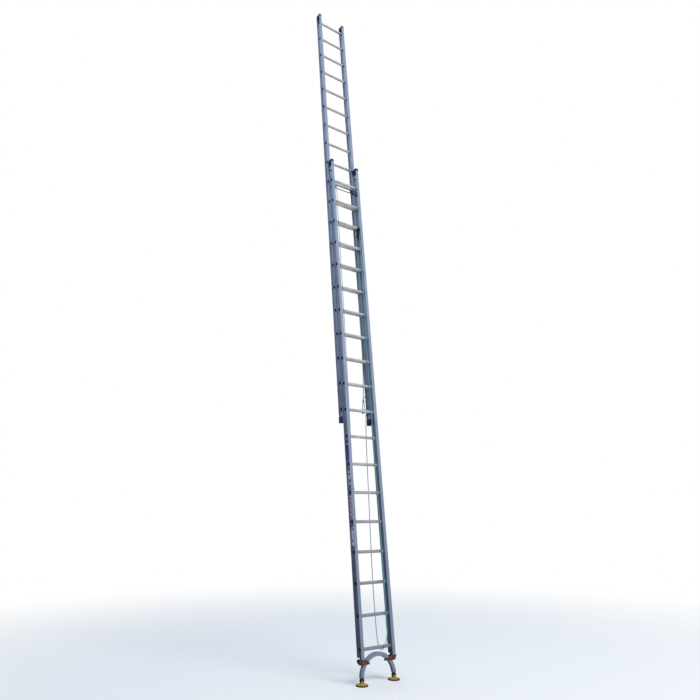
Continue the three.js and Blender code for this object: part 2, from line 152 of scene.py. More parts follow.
def laid_rope(name, points, radius, lay, step=4.5):
    """A rope of three strands through points in millimetres on the upright ladder."""
    line = smooth_route(points, step)
    shape = bmesh.new()
    uv = shape.loops.layers.uv.new("strands")
    up, rings, run = Vector((1, 0, 0)), [], 0.0
    for i, p in enumerate(line):
        ahead = (line[min(i + 1, len(line) - 1)] - line[max(i - 1, 0)]).normalized()
        up = (up - ahead * up.dot(ahead)).normalized()
        side = ahead.cross(up)
        run += (p - line[i - 1]).length if i else 0
        ring = []
        for j in range(SECTION):
            around = 2 * math.pi * j / SECTION
            reach = radius * (0.91 + 0.11 * math.cos(STRANDS * around))
            turn = around + 2 * math.pi * run / lay
            ring.append(shape.verts.new((p + (up * math.cos(turn) + side * math.sin(turn)) * reach) * MM))
        rings.append((ring, run))
    for (a, start), (b, end) in zip(rings, rings[1:]):
        for j in range(SECTION):
            k = (j + 1) % SECTION
            face = shape.faces.new((a[j], a[k], b[k], b[j]))
            face.smooth = True
            for loop, (u, v) in zip(face.loops, ((j, start), (j + 1, start), (j + 1, end), (j, end))):
                loop[uv].uv = (u / SECTION, v * MM)
    shape.faces.new(list(reversed(rings[0][0])))
    shape.faces.new(rings[-1][0])
    mesh = bpy.data.meshes.new(name)
    shape.to_mesh(mesh)
    shape.free()
    mesh.transform(LEAN)
    obj = bpy.data.objects.new(name, mesh)
    bpy.context.scene.collection.objects.link(obj)
    path = [LEAN @ (p * MM) for p in line]
    print(name, "is", round(length_of(path), 2), "m long")
    return obj, path


def stretch_between(obj, start, end):
    """Puts a rope's place into its mesh.
    Start and end are not used.
    """
    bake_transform(obj)


# %% The hoist rope, in the three stretches that move differently
ROPE_RADIUS = 5
ROPE_LAY = 34
SHEAVE_X = 164
SHEAVE_H = upright_middle("pulley_sheave").z / MM
ROPE_ON_SHEAVE = 27.3

over_sheave = [(SHEAVE_X, ROPE_ON_SHEAVE * math.cos(math.radians(a)),
                SHEAVE_H + ROPE_ON_SHEAVE * math.sin(math.radians(a))) for a in range(0, 181, 30)]
BACK_FALL = [(80, 55, 2757), (88, 54.5, 2802), (102, 54, 2862), (107, 53.5, 2940), (116, 51, 3060),
             (125, 47, 3300), (131, 43, 3750), (138, 38, 4150), (154, 32, 4600), (162, 29.5, 4880),
             over_sheave[0]]
FRONT_FALL = over_sheave + [
    (163, -27.5, 4880), (160, -27, 4400), (155, -26.5, 4000), (146, -26, 3550), (143, -25.5, 3000),
    (142, -25, 2280), (147, -25, 1640), (145, -25, 1020), (142, -25, 700), (136, -25, 400),
    (125, -25.5, 350), (104, -26, 301), (84, -23, 266), (68, -6, 252.5), (60, 14, 259.5), (54, 25, 285)]
LOW_RISE = [(54, 25, 285), (47, 28, 325), (42, 29, 385), (39, 32, 700), (45, 36, 1010), (69, 43, 1625),
            (96, 50, 2290), (109, 53, 2514), (127, 55, 2706)]

back_fall, back_path = laid_rope("rope_back_fall", BACK_FALL, ROPE_RADIUS, ROPE_LAY)
front_fall, front_path = laid_rope("rope_front_fall", FRONT_FALL, ROPE_RADIUS, ROPE_LAY)
low_rise, low_path = laid_rope("rope_low_rise", LOW_RISE, ROPE_RADIUS, ROPE_LAY)
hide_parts("hoist_rope")
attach(front_fall, "base")
stretch_between(back_fall, at(90, 54, 2870), at(162, 29.5, 4880))
stretch_between(low_rise, at(50, 28, 330), at(127, 55, 2690))

# %% The hitch round the fly's bottom rung, its knot and its tail
HITCH_RADIUS = 16.5 + ROPE_RADIUS + 0.4
hitch_rung = fly_rungs[0] / MM
TURNS = 3

hitch = [(104, 57, 2849), (112, 55.5, 2800), (119, 55.2, 2757)]
hitch += [(117 - 8.5 * k / 8, hitch_rung.y - HITCH_RADIUS * math.cos(math.radians(k * 45)),
           hitch_rung.z - HITCH_RADIUS * math.sin(math.radians(k * 45))) for k in range(8 * TURNS + 1)]
knot = [(103 + 8.5 * math.cos(math.radians(60 * k)), 54 + 8.5 * math.sin(math.radians(60 * k)),
         2840 + 1.72 * k) for k in range(16)]
tail = [(100, 58, 2872), (108, 52, 2888), (124, 47, 2912), (138, 49, 2938), (144, 52, 2956)]

rope_hitch, _ = laid_rope("rope_hitch", hitch, ROPE_RADIUS, ROPE_LAY, step=4)
rope_knot, _ = laid_rope("rope_knot", knot, ROPE_RADIUS, ROPE_LAY, step=3)
rope_tail, _ = laid_rope("rope_tail", tail, ROPE_RADIUS, ROPE_LAY)
for piece in (rope_hitch, rope_knot, rope_tail):
    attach(piece, "fly")

# %% The thin line that works the latches
LINE_RADIUS = 4
LATCH_LINE = [(-151, -28.5, 5674), (-151, -28.5, 5560), (-151, -25.5, 5300), (-152, -24, 4800),
              (-154, -23.5, 4100), (-161, -23.5, 3300), (-168, -23.5, 2600), (-172, -23.5, 2260),
              (-173, -23.5, 1990), (-172, -23.5, 1830)]
line_end = [(-172, -23.5, 1842), (-166, -21, 1846), (-165, -26, 1838), (-174, -30, 1836), (-179, -24, 1842),
            (-174, -19, 1848), (-166, -22, 1850)]

latch_line, line_path = laid_rope("latch_line_rope", LATCH_LINE, LINE_RADIUS, 26, step=4)
line_knot, _ = laid_rope("latch_line_knot", line_end, LINE_RADIUS, 26, step=3)
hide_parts("latch_line")
stretch_between(latch_line, at(-151, -28.5, 5674), at(-151, -25.5, 5300))
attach(line_knot, "base")

# %% What each rope is
length_of(back_path)
length_of(front_path)
length_of(low_path)
length_of(line_path)

# %% [markdown]
# ## Tools for modelling by hand
#
# The pieces below are modelled with Blender's own operators, and a few begin as a copy of a shape in
# the frame. Operators act on whatever is selected, so one helper selects a single object, another
# picks faces or edges by where they are, and a third ends the work: it leaves edit mode, turns the
# faces outwards and smooths only shallow angles.

# %% Selecting, picking and finishing
def only(obj):
    """Selects one object and nothing else."""
    bpy.ops.object.select_all(action="DESELECT")
    obj.select_set(True)
    bpy.context.view_layer.objects.active = obj
    return obj


def begin(name):
    """Names the primitive that was just added, puts its place in its mesh and enters edit mode."""
    obj = only(bpy.context.object)
    obj.name = obj.data.name = name
    bpy.ops.object.transform_apply(location=True, rotation=True, scale=True)
    bpy.ops.object.mode_set(mode="EDIT")
    return obj


def pick(kind, test):
    """In edit mode, selects the vertices, edges or faces that pass a test, and counts them."""
    bpy.ops.mesh.select_mode(type=kind)
    bpy.ops.mesh.select_all(action="DESELECT")
    mesh = bpy.context.edit_object.data
    shape = bmesh.from_edit_mesh(mesh)
    chosen = [item for item in {"VERT": shape.verts, "EDGE": shape.edges, "FACE": shape.faces}[kind]
              if test(item)]
    for item in chosen:
        item.select_set(True)
    bmesh.update_edit_mesh(mesh)
    return len(chosen)


def end(obj, smooth=30):
    """Leaves edit mode with the faces turned outwards and shallow angles smoothed."""
    bpy.ops.mesh.select_all(action="SELECT")
    bpy.ops.mesh.normals_make_consistent(inside=False)
    bpy.ops.object.mode_set(mode="OBJECT")
    only(obj)
    bpy.ops.object.shade_smooth_by_angle(angle=math.radians(smooth))
    return obj


def extrude(step):
    """Extrudes what is selected by a step in metres."""
    bpy.ops.mesh.extrude_region_move(TRANSFORM_OT_translate={"value": step})


def apply_modifier(obj, kind, **settings):
    """Adds a modifier with its settings and applies it."""
    only(obj)
    modifier = obj.modifiers.new(kind.lower(), kind)
    for key, value in settings.items():
        setattr(modifier, key, value)
    bpy.ops.object.modifier_apply(modifier=modifier.name)
    return obj


# %% Turned pieces, copies and joining
def turned(name, rings, sides=32, closing="caps"):
    """A round piece about Z: a circle extruded from ring to ring, each a height and a radius in mm.
    The ends get caps, or are bridged into a ring with a bore, or stay open for a mirror."""
    height, radius = rings[0]
    bpy.ops.mesh.primitive_circle_add(vertices=sides, radius=radius * MM, location=(0, 0, height * MM),
                                      fill_type="NGON" if closing == "caps" else "NOTHING")
    obj = begin(name)
    for height_to, radius_to in rings[1:]:
        extrude((0, 0, (height_to - height) * MM))
        grow = radius_to / radius
        bpy.ops.transform.resize(value=(grow, grow, 1), center_override=(0, 0, height_to * MM))
        height, radius = height_to, radius_to
    if closing == "bridge":
        pick("EDGE", lambda edge: edge.is_boundary)
        bpy.ops.mesh.bridge_edge_loops()
    return end(obj)


def moved(obj, matrix):
    """Moves a piece's mesh, so that its object stays at the origin."""
    obj.data.transform(matrix)
    if matrix.determinant() < 0:
        obj.data.flip_normals()
    obj.data.update()
    return obj


def copied(obj, name, matrix=Matrix.Identity(4)):
    """A copy with its own mesh, moved."""
    copy = obj.copy()
    copy.data = obj.data.copy()
    copy.name = copy.data.name = name
    bpy.context.scene.collection.objects.link(copy)
    return moved(copy, matrix)


def joined(name, pieces):
    """Several meshes as one object."""
    bpy.ops.object.select_all(action="DESELECT")
    for piece in pieces:
        piece.select_set(True)
    bpy.context.view_layer.objects.active = pieces[0]
    if len(pieces) > 1:
        bpy.ops.object.join()
    pieces[0].name = pieces[0].data.name = name
    return pieces[0]


def shift(x, y, h):
    """A move in millimetres."""
    return Matrix.Translation((x * MM, y * MM, h * MM))


ALONG_X = Matrix.Rotation(math.radians(90), 4, "Y")
ALONG_Y = Matrix.Rotation(math.radians(90), 4, "X")
MIRRORED = Matrix.Scale(-1, 4, (1, 0, 0))


def outward(side):
    """The turn that points a piece's Z out to one side."""
    return Matrix.Rotation(math.radians(side * 90), 4, "Y")


def refined_copy(node, name, edge, segments=2):
    """A frame node's shape with its doubles merged, its flat faces whole and its edges rounded."""
    obj = bpy.data.objects.new(name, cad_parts[node].data.copy())
    bpy.context.scene.collection.objects.link(obj)
    moved(obj, UPRIGHT)
    only(obj)
    bpy.ops.object.mode_set(mode="EDIT")
    bpy.ops.mesh.select_all(action="SELECT")
    bpy.ops.mesh.remove_doubles(threshold=0.02 * MM)
    bpy.ops.mesh.dissolve_limited(angle_limit=math.radians(1))
    bpy.ops.object.mode_set(mode="OBJECT")
    apply_modifier(obj, "BEVEL", width=edge * MM, segments=segments, limit_method="ANGLE",
                   angle_limit=math.radians(35), harden_normals=False)
    bpy.ops.object.shade_smooth_by_angle(angle=math.radians(30))
    print(name, "has", len(obj.data.polygons), "faces")
    return obj


# %% [markdown]
# ## Shader sums
#
# A finish mixes noises and masks, and wiring those by hand hides the idea. A small class wraps a
# socket, so that a sum written in Python adds the Math nodes, and one method adds any other node.

# %% A socket that can be used in sums
class Value:
    """One output socket. Sums and products with numbers or other values add Math nodes."""

    def __init__(self, nodes, socket):
        self.nodes, self.socket = nodes, socket

    def _sum(self, operation, first, second):
        return self.nodes.add("ShaderNodeMath", {"operation": operation}, {0: first, 1: second})

    def __add__(self, other):
        return self._sum("ADD", self, other)

    def __radd__(self, other):
        return self._sum("ADD", other, self)

    def __sub__(self, other):
        return self._sum("SUBTRACT", self, other)

    def __rsub__(self, other):
        return self._sum("SUBTRACT", other, self)

    def __mul__(self, other):
        return self._sum("MULTIPLY", self, other)

    def __rmul__(self, other):
        return self._sum("MULTIPLY", other, self)


# %% The nodes of one material or world
class Nodes:
    """The node tree of a material or world, filled by its methods."""

    def __init__(self, owner):
        owner.use_nodes = True
        self.owner, self.tree = owner, owner.node_tree
        self.tree.nodes.clear()

    def add(self, kind, settings=None, sockets=None, output=0):
        """Adds a node: its settings first, then the values or links of its sockets."""
        node = self.tree.nodes.new(kind)
        for key, value in (settings or {}).items():
            setattr(node, key, value)
        for key, value in (sockets or {}).items():
            if isinstance(value, Value):
                self.tree.links.new(value.socket, node.inputs[key])
            else:
                node.inputs[key].default_value = value
        return Value(self, node.outputs[output])

    def upright(self, stretch=(1, 1, 1)):
        """Object coordinates turned back to the upright ladder and stretched."""
        seen = self.add("ShaderNodeTexCoord", output=3)
        back = self.add("ShaderNodeMapping", {}, {0: seen, 1: UPRIGHT.translation[:],
                                                  2: UPRIGHT.to_euler()[:]})
        return self.add("ShaderNodeMapping", {}, {0: back, 3: stretch})

    def noise(self, scale, detail=3, stretch=(1, 1, 1), rough=0.5):
        """A noise on the upright ladder, with its scale in features per metre."""
        return self.add("ShaderNodeTexNoise", {}, {"Vector": self.upright(stretch), "Scale": scale,
                                                   "Detail": detail, "Roughness": rough})

    def ramp(self, value, low, high, to_low=0, to_high=1):
        """A smooth step from one value to another while the input goes from low to high."""
        return self.add("ShaderNodeMapRange", {"interpolation_type": "SMOOTHSTEP"},
                        {0: value, 1: low, 2: high, 3: to_low, 4: to_high})

    def mix(self, share, first, second):
        """A colour between two."""
        return self.add("ShaderNodeMix", {"data_type": "RGBA"}, {0: share, 6: first, 7: second}, output=2)

    def axis(self, vector, index):
        """One number of a vector."""
        return self.add("ShaderNodeSeparateXYZ", {}, {0: vector}, output=index)

    def surface(self, colour, rough, metal=0.0, height=None, depth=0.1, **constants):
        """Ends a material in one Principled surface. A height in 0 to 1 makes a bump depth mm deep."""
        sockets = {"Base Color": colour, "Roughness": rough, "Metallic": metal}
        if height is not None:
            sockets["Normal"] = self.add("ShaderNodeBump", {}, {"Strength": 1.0, "Distance": depth * MM,
                                                                "Height": height})
        sockets.update(constants)
        shader = self.add("ShaderNodeBsdfPrincipled", {}, sockets)
        self.add_output("ShaderNodeOutputMaterial", shader)
        return self.owner

    def add_output(self, kind, shader):
        """Joins a shader to the tree's output."""
        self.tree.links.new(shader.socket, self.tree.nodes.new(kind).inputs[0])


def tone(text):
    """A colour given as six hexadecimal digits, in linear light."""
    parts = [int(text[i:i + 2], 16) / 255 for i in (0, 2, 4)]
    return tuple(c / 12.92 if c <= 0.04045 else ((c + 0.055) / 1.055) ** 2.4 for c in parts) + (1,)


def finish(name):
    """A new material's nodes."""
    return Nodes(bpy.data.materials.new(name))


def dress(obj, *materials):
    """Gives a piece its materials."""
    obj.data.materials.clear()
    for material in materials:
        obj.data.materials.append(material)
    return obj


# %% [markdown]
# ## The metals
#
# The stiles are mill-finish aluminium, straight from the die: fine drawing lines run along them, the
# skin is a little cloudy, and handling has left dull patches. The rungs are the same metal, but boots
# have scuffed them pale. The lowest metres of both are coloured darker and bluer by height; that is
# painted shade, as if the foot of the ladder stood in shade. Streaks come from a noise that is
# stretched along the stile; a wave texture would repeat too evenly.

# %% Stile, rung, arc and plate metal
def stile_metal():
    """Mill-finish aluminium with drawing lines along the stile, and painted shade darker and bluer towards
    the bottom.
    """
    n = finish("stile_metal")
    drawn = n.noise(1, 4, (900, 900, 3))
    cloudy = n.noise(5, 4)
    fine = n.noise(60, 3)
    # painted shade: this mask darkens and blues the metal towards the bottom of the ladder
    low = n.ramp(n.axis(n.upright(), 2) + cloudy * 0.3, 0.3, 4.5, 1, 0)
    marks = n.ramp(n.noise(16, 5, (1, 1, 0.25), 0.62), 0.56, 0.72)
    clean = n.mix(n.ramp(cloudy, 0.35, 0.65), tone("C3CAD6"), tone("B7BFCC"))
    scuffed = n.mix(marks * 0.35, clean, tone("959BA6"))
    # the painted shade of the lower metres is mixed into the colour here
    colour = n.mix(low * (0.45 + fine * 0.3), scuffed, tone("7F899B"))
    rough = 0.3 + drawn * 0.1 + marks * 0.1 + low * 0.06
    return n.surface(colour, rough, 0.92, drawn * 0.6 + fine * 0.4, 0.03)


def rung_metal():
    """The same metal, scuffed pale on the treads, and painted shade darker and bluer towards the bottom."""
    n = finish("rung_metal")
    scratches = n.noise(1, 4, (160, 900, 900))
    cloudy = n.noise(14, 4)
    worn = n.ramp(n.noise(30, 4, (0.35, 1, 1)), 0.4, 0.62)
    colour = n.mix(worn * 0.7, tone("C4C2BC"), tone("E2DED5"))
    dirt_and_painted_shade = n.mix(n.ramp(cloudy, 0.56, 0.75) * 0.4, colour, tone("8E8A80"))
    # painted shade: darker and bluer towards the bottom of the ladder, mixed over the real dirt patches
    low = n.ramp(n.axis(n.upright(), 2), 0.2, 3.2, 1, 0)
    dirt_and_painted_shade = n.mix(low * 0.75, dirt_and_painted_shade, tone("747F95"))
    return n.surface(dirt_and_painted_shade, 0.42 + scratches * 0.16, 0.4, scratches, 0.04)


def plate_metal(name, shade, rough):
    """A cleaner sheet or tube of aluminium."""
    n = finish(name)
    brushed = n.noise(1, 3, (700, 50, 50))
    cloudy = n.noise(22, 4)
    colour = n.mix(n.ramp(cloudy, 0.4, 0.7) * 0.5, tone(shade), tone("A3A8AE"))
    return n.surface(colour, rough + brushed * 0.12, 0.85, brushed, 0.02)


STILE = stile_metal()
RUNG = rung_metal()
ARC = plate_metal("arc_metal", "959CAD", 0.36)
SHEET = plate_metal("sheet_metal", "D6DCE6", 0.34)
print("metals:", [m.name for m in (STILE, RUNG, ARC, SHEET)])

# %% Plated steel
def plated_steel():
    """Zinc-plated bolts and pins, with a trace of dulling."""
    n = finish("plated_steel")
    dull = n.noise(120, 4)
    colour = n.mix(n.ramp(dull, 0.45, 0.7), tone("85837E"), tone("5E5B55"))
    return n.surface(colour, 0.34 + dull * 0.2, 0.95, dull, 0.03)


STEEL = plated_steel()

# %% [markdown]
# ## Plastics, paint, rubber and rope
#
# The plugs at the stile ends are moulded in a deep navy, the clamps on the levelling foot are painted a
# dark red that has chipped at the edges, and the foot pads are an ochre yellow. A moulding has a fine
# leathery skin, so each plastic gets a small noise as bump and a slow one in its colour.

# %% Moulded plastics and rubber
def moulded(name, shade, worn, rough=0.45, grain=350, depth=0.06):
    """A moulded plastic with a fine skin, rubbed paler in places."""
    n = finish(name)
    skin = n.noise(grain, 3)
    rubbed = n.ramp(n.noise(26, 5, rough=0.6), 0.5, 0.72)
    colour = n.mix(rubbed * 0.6, tone(shade), tone(worn))
    return n.surface(colour, rough + rubbed * 0.15 + skin * 0.08, 0.0, skin, depth)


NAVY = moulded("navy_plastic_skin", "0A1A58", "16286A", 0.5)
BLACK = moulded("black_plastic_skin", "17181A", "34363A", 0.42)
OCHRE = moulded("ochre_plastic_skin", "B08A1C", "8A6F2C", 0.5)
RUBBER = moulded("sole_rubber_skin", "1B1A19", "3C3832", 0.75, 220, 0.15)
# painted shade: the inside of each rung tube is coloured near black for the shade in the hollow
BORE_SHADE = moulded("rung_bore_painted_shade", "1E2126", "34373B", 0.8)
# painted shade: the clamp block's bare metal is coloured dark grey for the shadow it sits in
CLAMP_BLOCK_SHADE = moulded("clamp_block_painted_shade", "3C4148", "5C6066", 0.5)

# %% Red paint
def red_paint():
    """Dark red enamel with dust and small chips down to a dull primer."""
    n = finish("red_enamel")
    orange_peel = n.noise(260, 2)
    chips = n.ramp(n.noise(95, 5, rough=0.65), 0.62, 0.66)
    dust = n.ramp(n.noise(20, 4), 0.4, 0.8)
    colour = n.mix(dust * 0.3, tone("640A12"), tone("541E1E"))
    chipped = n.mix(chips * 0.8, colour, tone("4A3A38"))
    return n.surface(chipped, 0.32 + dust * 0.2 + chips * 0.3, 0.0, orange_peel - chips * 0.6, 0.05)


RED = red_paint()

# %% Rope fibre
def rope_fibre():
    """Pale blue-green split-film fibre: fine threads that run along each strand."""
    n = finish("rope_fibre_blue_green")
    laid = n.add("ShaderNodeUVMap", {"uv_map": "strands"})
    threads = n.add("ShaderNodeTexNoise", {}, {
        "Vector": n.add("ShaderNodeMapping", {}, {0: laid, 3: (60, 120, 1)}), "Scale": 1.0, "Detail": 3.0})
    faded = n.noise(9, 4)
    colour = n.mix(n.ramp(threads, 0.35, 0.65), tone("4F909A"), tone("82C0C6"))
    soiled = n.mix(n.ramp(faded, 0.45, 0.75) * 0.45, colour, tone("7E8F8C"))
    return n.surface(soiled, 0.6 + threads * 0.15, 0.0, threads, 0.25)


ROPE = rope_fibre()
for piece in (back_fall, front_fall, low_rise, rope_hitch, rope_knot, rope_tail, latch_line, line_knot):
    dress(piece, ROPE)
print("ropes are dressed in", ROPE.name)

# %% Sticker film
def film(name, shade):
    """Printed vinyl film, slightly faded and scratched."""
    n = finish(name)
    faded = n.ramp(n.noise(40, 4), 0.4, 0.75)
    scratched = n.ramp(n.noise(1, 4, (60, 500, 500)), 0.6, 0.68)
    colour = n.mix(faded * 0.25 + scratched * 0.25, tone(shade), tone("9BA3AE"))
    return n.surface(colour, 0.35 + scratched * 0.2, 0.0, scratched, 0.02)


FILM_BLUE = film("film_dark_blue", "1E2F9A")
FILM_PALE = film("film_lavender", "CDD3EC")
FILM_OLIVE = film("film_olive", "8C8A3C")
FILM_RED = film("film_red", "C01A2A")
FILM_WHITE = film("film_white", "BFC4D0")

# %% [markdown]
# ## Stiles
#
# A stile is one long extrusion with a section like a capital I: two flanges joined by a web, which is
# nearer the outside. The section is cut out of a flat plane with bisect, which keeps every line
# straight and square, and pulled out to its length. Its long edges are rounded next, while they are
# still simple, and the rung holes come last, because a bevel after a boolean would round those too.

# %% One stile
FLANGE = 3 * MM
LONG_EDGE = 0.9 * MM
WEB_OUT = 17.5 * MM
WEB_IN = 20.5 * MM


def section_faces(low, high, side):
    """Cuts a plane into the lines of the section and deletes the two channels."""
    web = sorted(side * (max(abs(low.x), abs(high.x)) - depth) for depth in (WEB_OUT, WEB_IN))
    for x in web:
        bpy.ops.mesh.select_all(action="SELECT")
        bpy.ops.mesh.bisect(plane_co=(x, 0, 0), plane_no=(1, 0, 0))
    for y in (low.y + FLANGE, high.y - FLANGE):
        bpy.ops.mesh.select_all(action="SELECT")
        bpy.ops.mesh.bisect(plane_co=(0, y, 0), plane_no=(0, 1, 0))

    def in_channel(face):
        middle = face.calc_center_median()
        return low.y + FLANGE < middle.y < high.y - FLANGE and not web[0] < middle.x < web[1]

    pick("FACE", in_channel)
    bpy.ops.mesh.delete(type="FACE")


def stile_blank(name, low, high, side):
    """The section pulled out to its length, with rounded edges."""
    middle = (low + high) / 2
    bpy.ops.mesh.primitive_plane_add(size=1, location=(middle.x, middle.y, low.z))
    obj = begin(name)
    bpy.ops.transform.resize(value=(high.x - low.x, high.y - low.y, 1),
                             center_override=(middle.x, middle.y, low.z))
    section_faces(low, high, side)
    bpy.ops.mesh.select_all(action="SELECT")
    extrude((0, 0, high.z - low.z))
    pick("EDGE", lambda e: e.calc_length() > (high.z - low.z) / 2 and e.is_manifold
         and e.calc_face_angle(0) > 1)
    bpy.ops.mesh.bevel(offset=LONG_EDGE, segments=3, affect="EDGES")
    return end(obj)


# %% The holes through a stile's web
WEB_MIDDLE = 197.5
ROD_LENGTH = 24
RUNG_HOLE = 16.45
NOTCH_MIDDLE = (200, 40, 195)
NOTCH_SIZE = (60, 43, 20)


def rung_cutter(side, rungs, extra=()):
    """Rods where the rungs pass the web, joined into one cutter."""
    rods = []
    for i, (y, z, radius) in enumerate([(r.y, r.z, RUNG_HOLE * MM) for r in rungs] + list(extra)):
        bpy.ops.mesh.primitive_cylinder_add(vertices=32, radius=radius, depth=ROD_LENGTH * MM,
                                            location=(side * WEB_MIDDLE * MM, y, z),
                                            rotation=(0, math.radians(90), 0))
        rods.append(end(begin(f"rod_{i}")))
    return joined("rung_cutter", rods)


def cut(obj, cutter):
    """Takes the cutter out of a piece, and then deletes the cutter."""
    apply_modifier(obj, "BOOLEAN", operation="DIFFERENCE", object=cutter, solver="EXACT")
    bpy.data.objects.remove(cutter)
    only(obj)
    bpy.ops.object.shade_smooth_by_angle(angle=math.radians(30))
    return obj


def foot_notch(side):
    """A block where the base's rear flange stops short above the levelling foot."""
    x, y, h = NOTCH_MIDDLE
    bpy.ops.mesh.primitive_cube_add(size=1, location=(side * x * MM, y * MM, h * MM),
                                    scale=[edge * MM for edge in NOTCH_SIZE])
    return end(begin("foot_notch"))


# %% All four stiles
SHAFT_Y = 24
SHAFT_DROP = 85
SHAFT_HOLE = 5.3
SHAFT_H = base_rungs[-1].z / MM - SHAFT_DROP
LATCH_SHAFT = (SHAFT_Y * MM, SHAFT_H * MM, SHAFT_HOLE * MM)

for section, rungs in (("base", base_rungs), ("fly", fly_rungs)):
    for place, side in SIDES.items():
        node = f"{section}_stile_{place}"
        low, high = upright_box(node)
        piece = stile_blank(f"{section}_stile_{place}_extrusion", low, high, side)
        cut(piece, rung_cutter(side, rungs, [LATCH_SHAFT] if section == "base" else []))
        if section == "base":
            cut(piece, foot_notch(side))
        dress(moved(piece, LEAN), STILE)
        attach(piece, section)
        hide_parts(node)
        print(piece.name, "has", len(piece.data.polygons), "faces")

# %% [markdown]
# ## Rungs
#
# A rung is a fluted tube. It passes through both webs, is swelled into a bead against the inside of
# each and flared over on the outside, which locks it without a weld. All of that is one line of
# circles, from the bore at mid-length, out over the flare and back along the outside. Half of it is
# made, every second line of points is sunk to form the flutes, and a mirror makes the other half.

# %% One rung
BORE = 14.4
TUBE = 16.5
CREST = 16.4
RUNG_LINES = 44
FLUTE_END = 183
FLUTE_INSIDE = 15
FLUTE_SINK = 0.945


def is_bore(face):
    """Whether a face of the rung looks at the rung's own axis."""
    return face.normal.yz.dot(face.center.yz) < 0


def rung_tube():
    """A rung along X with its middle at the origin."""
    obj = turned("rung", [
        (0, BORE), (188, BORE), (197, 15.2), (202.4, 17.6), (203, 18.6), (202, 19.3), (199.4, 19.1),
        (199.4, 16.3), (195.6, 16.3), (195.6, 19.2), (194.4, 20.3), (192.2, 20.3), (190.6, 19), (189.6, TUBE),
        (184, TUBE), (182.5, CREST), (90, CREST), (0, CREST)], RUNG_LINES, closing="open")
    bpy.ops.object.mode_set(mode="EDIT")

    def in_a_flute(vert):
        line = round(math.atan2(vert.co.y, vert.co.x) / (2 * math.pi / RUNG_LINES))
        return vert.co.z < FLUTE_END * MM and vert.co.xy.length > FLUTE_INSIDE * MM and line % 2 == 0

    pick("VERT", in_a_flute)
    bpy.ops.transform.resize(value=(FLUTE_SINK, FLUTE_SINK, 1), center_override=(0, 0, 0))
    end(obj)
    apply_modifier(obj, "MIRROR", use_axis=(False, False, True), merge_threshold=0.01 * MM)
    bpy.ops.object.mode_set(mode="EDIT")
    moved(end(obj, 20), ALONG_X)
    # the bore faces get the painted shade of the hollow tube
    dress(obj, RUNG, BORE_SHADE)
    for face in obj.data.polygons:
        face.material_index = 1 if is_bore(face) else 0
    return obj


# %% Every rung, each a copy with its own mesh
rung = rung_tube()
for section, rungs in (("base", base_rungs), ("fly", fly_rungs)):
    for k, place in enumerate(rungs, 1):
        piece = copied(rung, f"{section}_rung_{k:02d}_fluted", LEAN @ Matrix.Translation(place))
        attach(piece, section)
        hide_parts(f"{section}_rung_{k:02d}")
print(len(base_rungs) + len(fly_rungs), "rungs of", len(rung.data.polygons), "faces")
bpy.data.objects.remove(rung)

# %% [markdown]
# ## Plugs, guides and stiffening plates
#
# Moulded plugs close the stile ends. Those on the base's top and on the fly's feet also carry a claw
# that holds the other section's flange, so their true shape matters and comes from the frame; only
# the sharp edges are rounded. The fly's own top needs plain plugs, which are modelled here. A light
# plate with a round end stiffens the web next to each working plug. A black sheet, a little larger,
# lies under it, so a dark line shows round its edge; that line is painted shadow.

# %% A rivet head and a hexagon bolt
rivet = turned("rivet", [(0, 6.2), (0.9, 6.2), (2, 5), (2.7, 3), (2.9, 1)], 20)
dress(rivet, STEEL)
bolt_head = turned("bolt_head", [(0, 6), (0.4, 7.4), (4.6, 7.4), (5.3, 6.4)], 6)
bolt_washer = turned("bolt_washer", [(-1.4, 8.6), (-1.2, 9), (-0.2, 9), (0, 8.6)], 24)
bolt_end = turned("bolt_end", [(5, 4), (7.4, 4), (8, 3.2)], 16)
bolt = dress(joined("bolt", [bolt_head, bolt_washer, bolt_end]), STEEL)
print("bolt has", len(bolt.data.polygons), "faces")

# %% The claw plugs
PLUG_FACE = 215.9
for node, section, rivet_below in (("base_cap", "base", -33), ("fly_guide", "fly", 30)):
    for place, side in SIDES.items():
        piece = dress(refined_copy(f"{node}_{place}", f"{node}_{place}_moulding", 1.1), NAVY)
        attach(moved(piece, LEAN), section)
        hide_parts(f"{node}_{place}")
        low, high = upright_box(f"{section}_stile_{place}")
        start = (high.z if section == "base" else low.z) / MM + rivet_below
        head = copied(rivet, f"{node}_{place}_rivet", LEAN
                      @ shift(side * PLUG_FACE, (low.y + high.y) / 2 / MM, start)
                      @ outward(side))
        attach(head, section)

# %% The fly's plain top plugs
CROWN_X, CROWN_DEPTH, CROWN_H = (178, 217), 38, 8
SKIRTS_X, SKIRT_DEPTH, SKIRT_H = ((199.3, 215.8), (179, 195.7)), 34, 60
HOOD_FACE_X, HOOD_LIPS_X = (176.9, 218.1), ((176.7, 178.3), (216.7, 218.3))
HOOD_AIR, HOOD_OUT, HOOD_LAP = 0.2, 1.9, 4.4


def block(name, low, high, edge):
    """A block between two corners in millimetres, with its edges rounded."""
    middle = [(a + b) / 2 * MM for a, b in zip(low, high)]
    bpy.ops.mesh.primitive_cube_add(size=1, location=middle, scale=[(b - a) * MM for a, b in zip(low, high)])
    obj = begin(name)
    bpy.ops.mesh.bevel(offset=edge * MM, segments=3, affect="EDGES")
    return end(obj)


def top_plug(name, depth, top):
    """A crown over the stile's end and two skirts down its channels, on the right-hand side."""
    crown = block("crown", (CROWN_X[0], depth - CROWN_DEPTH, top),
                  (CROWN_X[1], depth + CROWN_DEPTH, top + CROWN_H), 2)
    skirts = [block("skirt", (low, depth - SKIRT_DEPTH, top - SKIRT_H), (high, depth + SKIRT_DEPTH, top + 2),
                    1.2) for low, high in SKIRTS_X]
    return joined(name, [crown] + skirts)


